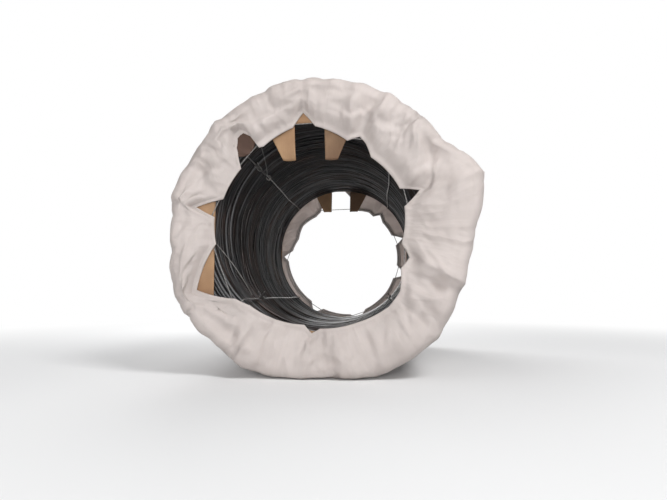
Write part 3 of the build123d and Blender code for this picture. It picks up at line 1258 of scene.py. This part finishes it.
@dataclass
class WovenWrap:
    """The woven sleeve: one cloth from the front hem, over that end, along the coil and over the rear."""

    space: CoilSpace
    finish: WovenTape = WovenTape()
    feel: ClothFeel = ClothFeel()
    columns: int = 400
    face_rows: int = 22
    shoulder_rows: int = 7
    side_rows: int = 46
    thickness: float = 0.0010
    hem_lift: float = 0.0140
    crest: float = 0.042
    shoulder: float = 0.055
    board_top: float = 0.0075
    tie_top: float = 0.0072
    coil_top: float = 0.0012
    band: float = 0.120
    on_coil: float = 0.0070
    over_tie: float = 0.0058
    over_floor: float = 0.0012
    side_slack: float = 0.010
    sag: float = 0.030
    pocket_run: float = 0.56
    rear_run: float = 0.30
    end_clearance: float = 0.0090
    crease_hold: float = 0.30
    pocket_hold: float = 0.50
    pocket_angle: float = 17.0
    pocket_spread: float = 28.0
    settle_frames: int = 16
    gravity: float = 0.4
    flat_size: tuple[float, float] = (4.15, 2.25)

    @property
    def even_angles(self) -> Array:
        """The angles of the columns, if they lay evenly round the axis."""
        return np.arange(self.columns) / self.columns * FULL_TURN

    def crease_columns(self, end: End) -> Array:
        """The column on which each crease of an end lies, the nearest to its middle's angle."""
        middle = np.array([(spoke.hem_angle + spoke.rim_angle) / 2 for spoke in SPOKES[end]])
        return np.round(middle / FULL_TURN * self.columns)

    def between(self, knots: Array, values: Array) -> Array:
        """Spread values over all columns, in straight lines from crease to crease, once round.

        Args:
            knots: The creases' columns.
            values: The values there.

        Returns:
            One value for each column.
        """
        knots = knots % self.columns
        order = np.argsort(knots)
        knots, values = knots[order], values[order]
        wide = np.concatenate([knots - self.columns, knots, knots + self.columns])
        return np.interp(np.arange(self.columns), wide, np.tile(values, 3))

    def angles(self, knots: Array, degrees: Array) -> Array:
        """The angle of each column, from those of the creases."""
        offset = degrees - knots / self.columns * FULL_TURN
        return self.between(knots, offset) + self.even_angles

    def end_rows(self, end: End) -> Rows:
        """An end's rows, hem first.

        They go from the turned-in hem round the drawstring, out over the end in straight lines to the
        crest, and over the shoulder along a quarter of an ellipse. A crease lifts its column by two bells,
        one near the hem and one near the rim.

        Args:
            end: Which end.

        Returns:
            Its rows.
        """
        knots = self.crease_columns(end)
        given = np.array([astuple(spoke) for spoke in SPOKES[end]], dtype=float).T
        hem_angle, rim_angle = self.angles(knots, given[0]), self.angles(knots, given[2])
        inside, rim, near_hem, near_rim = (self.between(knots, given[k] * MM) for k in (1, 3, 4, 5))
        hem = self.space.bore_radius - inside
        hem_y = self.space.half_length + self.hem_lift
        out = np.linspace(0.0, 1.0, self.face_rows + 1)[1:, None]
        inner, outer = hem + HEM_OUT[-1], rim - self.shoulder
        rise = np.sin(np.pi / 2 * np.minimum(1.0, out / 0.8)) ** 0.9
        lift = near_hem * bell(out - 0.28, 0.22) + near_rim * bell(out - 0.78, 0.26)
        lift = lift * np.clip(out / 0.12, 0.0, 1.0)
        face = hem_y + HEM_PROUD[-1] * (1 - out) + self.crest * rise + lift
        swing = ease(out * 0.85 + 0.15 * out**2)
        turn = np.linspace(0.0, 1.0, self.shoulder_rows + 1)[1:, None] * np.pi / 2
        low = self.space.half_length - 0.014
        over = low + (face[-1] - low) * np.cos(turn)
        return Rows(
            stacked(
                self.columns, hem + HEM_OUT[:, None], inner + (outer - inner) * out,
                outer + self.shoulder * np.sin(turn),
            ),
            stacked(
                self.columns, hem_angle + 0 * HEM_OUT[:, None], hem_angle + (rim_angle - hem_angle) * swing,
                rim_angle + 0 * turn,
            ),
            end.value * stacked(self.columns, hem_y + HEM_PROUD[:, None], face, over),
            stacked(self.columns, 0 * HEM_OUT[:, None], np.clip(out * 3, 0.0, 1.0), 1 + 0 * turn),
        )

    def side(self, front: Rows, rear: Rows) -> Rows:
        """The rows along the coil: tight over it in the middle, and easing to each end's own outline.

        Over a tie the cloth lies as high as a bell, at the sides it hangs off by the square of the cosine,
        and below the middle it sags by the sine of twice the angle.

        Args:
            front: The front end's rows.
            rear: The rear end's rows.

        Returns:
            The rows between.
        """
        share = np.linspace(0.0, 1.0, self.side_rows + 2)[1:-1, None]
        y = front.y[-1] + (rear.y[-1] - front.y[-1]) * share
        to_front = np.clip(1 - (y - front.y[-1]) / self.pocket_run, 0.0, 1.0)
        to_rear = np.clip(1 - (rear.y[-1] - y) / self.rear_run, 0.0, 1.0)
        even = self.even_angles
        angle = even + (front.angle[-1] - even) * to_front + (rear.angle[-1] - even) * to_rear
        turn = np.radians(angle)
        tight = self.space.outer_radius + self.on_coil
        swell = self.side_slack * np.cos(turn) ** 2 + self.sag * np.abs(np.sin(2 * turn)) * (np.sin(turn) < 0)
        radius = tight + np.maximum(swell, self.over_tie * self.space.near_tie(angle, 1.6))
        radius = radius + (np.maximum(front.radius[-1], tight) - radius) * to_front
        radius = radius + (np.maximum(rear.radius[-1], tight) - radius) * to_rear
        return Rows(radius, angle, y, np.ones(radius.shape))

    def folds(self, points: Array, along: Array, rows: Rows) -> Array:
        """How far the cloth's own folds lift it: long soft folds, slanted creases and a fine crumple.

        Each is a noise of the place round the axis and along the cloth, times its height. Creases are
        one less twice the noise's size, cut off below a level.

        Args:
            points: The cloth's points.
            along: How far along the cloth each row lies.
            rows: The cloth's rows.

        Returns:
            The lift of each point, in metres.
        """
        spot = self.space.spot
        slanted = spot(rows.angle, along, 4.2, 3.1) + along[..., None] * np.array([2.2, 0.0, -1.7])
        lift = 0.0060 * np.clip(Noise(81).creased(spot(rows.angle, along, 5.2, 1.1), 2) - 0.35, 0.0, 1.2)
        lift += 0.0045 * np.clip(Noise(82).creased(slanted, 2) - 0.55, 0.0, 1.2)
        lift += 0.0030 * (Noise(83).layered(spot(rows.angle, along, 7.0, 4.0), 2) + 0.25)
        lift += 0.0013 * Noise(84).creased(points * 11.0, 2)
        return lift * rows.free

    @staticmethod
    def normals(points: Array) -> Array:
        """Unit normals of the closed grid, away from the coil."""
        around = np.roll(points, -1, axis=1) - np.roll(points, 1, axis=1)
        return unit(-np.cross(np.gradient(points, axis=0), around))

    def over_the_coil(self, points: Array) -> Array:
        """Lift what would sink into the coil, its boards and ties, or the floor back to just over them.

        On the side a point is scaled out from the axis to the least radius there, and on an end it is moved
        out along the axis.

        Args:
            points: The cloth's points.

        Returns:
            The lifted points.
        """
        space = self.space
        x, z = points[..., 0], points[..., 2] - space.axis_height
        radius, reach = np.hypot(x, z), np.abs(points[..., 1])
        tie_top = self.coil_top + self.tie_top * space.near_tie(np.degrees(np.arctan2(z, x)), 0.8)
        least = np.where(reach > space.half_length - self.band, self.board_top, tie_top) + space.outer_radius
        lowest = np.interp(reach, [space.half_length - 0.020, space.half_length + 0.006], [1.0, 0.0])
        scale = np.where(radius < least, 1.0 + (least / radius - 1.0) * lowest, 1.0)
        lifted = points.copy()
        lifted[..., 0] = x * scale
        lifted[..., 2] = np.maximum(z * scale + space.axis_height, self.over_floor)
        on_end = (radius < space.outer_radius - 0.010) & (reach > space.half_length - 0.05)
        out = np.maximum(reach, space.half_length + self.end_clearance)
        lifted[..., 1] = np.where(on_end, np.sign(points[..., 1]) * out, points[..., 1])
        return lifted

    def grip(self, count: int) -> Array:
        """How firmly each point of the cloth is held.

        It is held fully in the hems, less and less out to the side, along the high creases, and by a bell
        round the right pocket.

        Args:
            count: How many rows the cloth has.

        Returns:
            The hold of each point, from 0 to 1.
        """
        rows = np.arange(count)[:, None]
        from_hem = np.minimum(rows, count - 1 - rows) - len(HEM_OUT)
        end_rows = self.face_rows + self.shoulder_rows
        near_front = rows < count / 2
        hold = np.interp(from_hem, [0, 2, 8, end_rows], [1.0, 0.40, 0.22, 0.12])
        high = []
        for end in End:
            lift = np.array([max(abs(spoke.near_rim), abs(spoke.near_hem)) for spoke in SPOKES[end]]) / 30.0
            high.append(self.between(self.crease_columns(end), lift) ** 3)
        on_end = np.clip(from_hem / 3.0, 0.0, 1.0) * (from_hem < end_rows)
        creases = self.crease_hold * on_end * np.where(near_front, *high)
        back = np.clip((from_hem - self.face_rows) / (self.side_rows / 2), 0.0, 1.0)
        pocket = self.pocket_hold * bell(turned(self.even_angles, self.pocket_angle), self.pocket_spread)
        pocket = pocket * (1.0 - ease(back)) * (from_hem > 4) * near_front
        return np.maximum(np.maximum(hold, creases), pocket)

    def former(self) -> bpy.types.Object:
        """The plain shape that the cloth settles on: the coil and its boards, as a section carried round.

        Returns:
            The shape's object.
        """
        section = np.array([(0.30, 0.0065), (0.585, 0.0065), (0.6035, -0.010), (0.6035, -0.5)])
        reach = section[:, 1] + self.space.half_length
        radius = np.concatenate([section[:, 0], section[::-1, 0]])[:, None]
        y = np.concatenate([-reach, reach[::-1]])[:, None]
        angle = np.linspace(0.0, FULL_TURN, 96, endpoint=False)
        return Surface.grid(self.space.place(radius, angle, y)[:, ::-1], 0.0, 0.0, True).piece("former")

    def settle(self, piece: bpy.types.Object, hold: Array) -> None:
        """Let the cloth, made a little too large for its shape, buckle and hang over the coil and the floor.

        Args:
            piece: The wrap's piece, without its thickness.
            hold: How firmly each of its points is held, from 0 to 1.
        """
        scene = bpy.context.scene
        solids = [self.former(), level_square("ground", 2.0)]
        for solid in solids:
            solid.modifiers.new("solid", "COLLISION")
            solid.collision.thickness_outer = 0.002
            solid.collision.cloth_friction = 12.0
        levels = np.round(hold.reshape(-1) * 100).astype(int)
        group = piece.vertex_groups.new(name="held")
        for level in np.unique(levels):
            group.add(np.flatnonzero(levels == level).tolist(), level / 100, "REPLACE")
        cloth = piece.modifiers.new("settle", "CLOTH")
        for name, value in asdict(self.feel).items():
            setattr(cloth.settings, name, value)
        cloth.settings.vertex_group_mass = group.name
        cloth.settings.effector_weights.gravity = self.gravity
        cloth.collision_settings.distance_min = 0.0025
        cloth.collision_settings.collision_quality = 2
        cloth.point_cache.frame_start = 1
        cloth.point_cache.frame_end = self.settle_frames
        for frame in range(1, self.settle_frames + 1):
            scene.frame_set(frame)
        shaped = piece.evaluated_get(bpy.context.evaluated_depsgraph_get())
        places = np.empty(len(piece.data.vertices) * 3, dtype=np.float32)
        shaped.data.vertices.foreach_get("co", places)
        piece.modifiers.remove(cloth)
        piece.vertex_groups.remove(group)
        scene.frame_set(1)
        piece.data.vertices.foreach_set("co", self.over_the_coil(places.reshape(-1, 3)).reshape(-1))
        piece.data.update()
        for solid in solids:
            mesh = solid.data
            bpy.data.objects.remove(solid)
            bpy.data.meshes.remove(mesh)

    def build(self) -> None:
        front, rear = self.end_rows(End.FRONT), self.end_rows(End.REAR)
        rows = Rows.joined(front, self.side(front, rear), rear)
        points = self.space.place(rows.radius, rows.angle, rows.y)
        steps = np.median(np.linalg.norm(np.diff(points, axis=0), axis=-1), axis=1)
        along = np.concatenate([[0.0], np.cumsum(steps)])[:, None]
        fold = self.folds(points, along, rows)
        points = points + self.normals(points) * fold[..., None]
        near_floor = np.clip((0.02 - points[..., 2]) / 0.02, 0.0, 1.0)
        # Painted shade: the cloth is darker where its folds dip in and where it nears the floor.
        hollow = np.clip(0.5 - fold / 0.006, 0.0, 1.0) * 0.5 + 0.5 * near_floor
        points = self.over_the_coil(points)
        width = self.flat_size[0]
        across = np.arange(self.columns) / self.columns * width
        made = Surface.grid(points[:, ::-1], across[::-1], along, True, hollow=hollow[:, ::-1])
        piece = made.piece("wrap_sleeve", width)
        self.settle(piece, self.grip(len(points))[:, ::-1])
        wall = piece.modifiers.new("cloth", "SOLIDIFY")
        wall.thickness = self.thickness
        wall.offset = 1.0
        dress(piece, self.finish.material(), "woven_fabric", "woven_wrap")


@dataclass
class Drawstring:
    """The cord in one hem: straight across each notch, hidden in the hem elsewhere."""

    space: CoilSpace
    end: End
    diameter: float = 0.004
    lift: float = 0.0091
    hem: float = 0.014
    steps: int = 420

    def route(self) -> Array:
        """The loop's points: the held points of the hem, set out by its depth and joined by straight chords.

        Each corner is eased by three turns of the mean of a point, twice, and its two neighbours.

        Returns:
            The points, evenly along the loop.
        """
        held = [spoke for spoke in SPOKES[self.end] if spoke.held]
        angles = np.array([spoke.hem_angle for spoke in held])
        radii = np.array([self.space.bore_radius - spoke.inside * MM + self.hem for spoke in held])
        corners = self.space.place(radii, angles, self.end.value * (self.space.half_length + self.lift))
        corners = np.concatenate([corners, corners[:1]])
        length = lengths(corners)
        even = np.linspace(0.0, length[-1], self.steps, endpoint=False)
        line = np.stack([np.interp(even, length, part) for part in corners.T], axis=-1)
        for _ in range(3):
            line = (np.roll(line, 1, axis=0) + 2 * line + np.roll(line, -1, axis=0)) / 4
        return line

    def build(self, material: bpy.types.Material) -> None:
        """Make and dress the cord.

        Args:
            material: Its material.
        """
        node = f"drawstring_{self.end.name.lower()}"
        made = tube(self.route(), self.diameter / 2, AXIS, 8, True).piece(f"cord_{node}")
        dress(made, material, "cord", node)


@dataclass(frozen=True)
class Lamp:
    """A square soft lamp: its place, its power in watts and its side."""

    name: str
    place: Triple
    power: float
    size: float


@dataclass
class Studio:
    """A pale floor, soft lamps, a white surround and the camera at the photograph's place."""

    space: CoilSpace
    camera_side: float = 0.2618
    camera_y: float = -2.7255
    camera_drop: float = 0.2793
    lens: float = 27.5
    pitch: float = 5.0
    yaw: float = -5.5
    floor_half: float = 14.0
    floor_grey: Rgba = (0.80, 0.80, 0.80, 1.0)
    sky: Rgba = (0.95, 0.97, 1.0, 1.0)
    sky_strength: float = 0.27
    lamps: tuple[Lamp, ...] = (
        Lamp("key", (2.2, -2.6, 3.6), 125.0, 1.3),
        Lamp("front", (0.2, -5.2, 0.9), 125.0, 1.6),
        Lamp("fill", (-3.4, -2.6, 1.6), 20.0, 2.6),
        Lamp("back", (-1.2, 3.4, 2.4), 120.0, 2.4),
    )

    def surround(self) -> None:
        """A soft grey light from all round that shows as white."""
        world = bpy.data.worlds.new("surround")
        bpy.context.scene.world = world
        world.use_nodes = True
        recipe = Recipe(world.node_tree)
        plain = recipe.node("Background", {"Color": self.sky, "Strength": self.sky_strength})
        recipe.show(recipe.white_when_seen(plain.outputs[0], "Background"))

    def floor(self) -> None:
        """A wide pale floor that takes the coil's shadow and turns white far from it."""
        made = level_square("floor", self.floor_half)
        paint = Paint("floor_paint", {"Roughness": 0.85, "Specular IOR Level": 0.1})
        paint.shader.inputs["Base Color"].default_value = self.floor_grey
        away = paint.node("VectorMath", {0: paint.object_place()}, operation="LENGTH").outputs["Value"]
        span = {"Value": away, "From Min": 1.0, "From Max": 4.2}
        far = paint.node("MapRange", span, interpolation_type="SMOOTHSTEP").outputs["Result"]
        paint.show(paint.white_when_seen(paint.shader.outputs[0], "Emission", far))
        made.data.materials.append(paint.material)

    def hang(self, lamp: Lamp) -> None:
        """Hang a lamp, turned to the middle of the coil.

        Args:
            lamp: The lamp.
        """
        light = bpy.data.lights.new(lamp.name, "AREA")
        light.energy = lamp.power
        light.size = lamp.size
        made = linked(lamp.name, light)
        made.location = lamp.place
        aim = np.array([0.0, 0.0, self.space.axis_height]) - np.array(lamp.place)
        tilt, swing = np.arctan2(np.hypot(aim[0], aim[1]), -aim[2]), np.arctan2(-aim[0], aim[1])
        made.rotation_euler = (tilt, 0.0, swing)

    def camera(self) -> None:
        """The camera, at the photograph's place beside the coil's axis and below it."""
        data = bpy.data.cameras.new("camera")
        data.lens = self.lens
        made = linked("camera", data)
        made.location = (self.camera_side, self.camera_y, self.space.axis_height - self.camera_drop)
        made.rotation_euler = (np.radians(90.0 + self.pitch), 0.0, np.radians(-self.yaw))
        bpy.context.scene.camera = made

    def build(self) -> None:
        """Set up the stage."""
        bpy.context.scene.view_settings.view_transform = "Standard"
        self.surround()
        self.floor()
        for lamp in self.lamps:
            self.hang(lamp)
        self.camera()


def main() -> None:
    """Build the coil and its stage in order."""
    logging.basicConfig(level=logging.INFO, format="%(name)s: %(message)s")
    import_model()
    space = CoilSpace.from_frame()
    RodCoil(space).build()
    wire = DrawnWire().material()
    upper_hanger = Hanger(0.397, 125.5, 0.32, True)
    lower_hanger = Hanger(0.4205, 190.0, 0.07, False)
    TieWire(space, Corner.UPPER_RIGHT).build(wire)
    TieWire(space, Corner.UPPER_LEFT, tail=0.150, hook=0.006, hanger=upper_hanger).build(wire)
    TieWire(space, Corner.LOWER_LEFT, tail=0.090, hook=0.034, hanger=lower_hanger).build(wire)
    TieWire(space, Corner.LOWER_RIGHT).build(wire)
    kraft = Kraft().material()
    for seed, (end, quarter) in enumerate(product(End, Quarter), start=1):
        EndBoard(space, end, quarter, seed).build(kraft)
    WovenWrap(space).build()
    cord = TwistedCord().material()
    for end in End:
        Drawstring(space, end).build(cord)
    Studio(space).build()


if __name__ == "__main__":
    main()
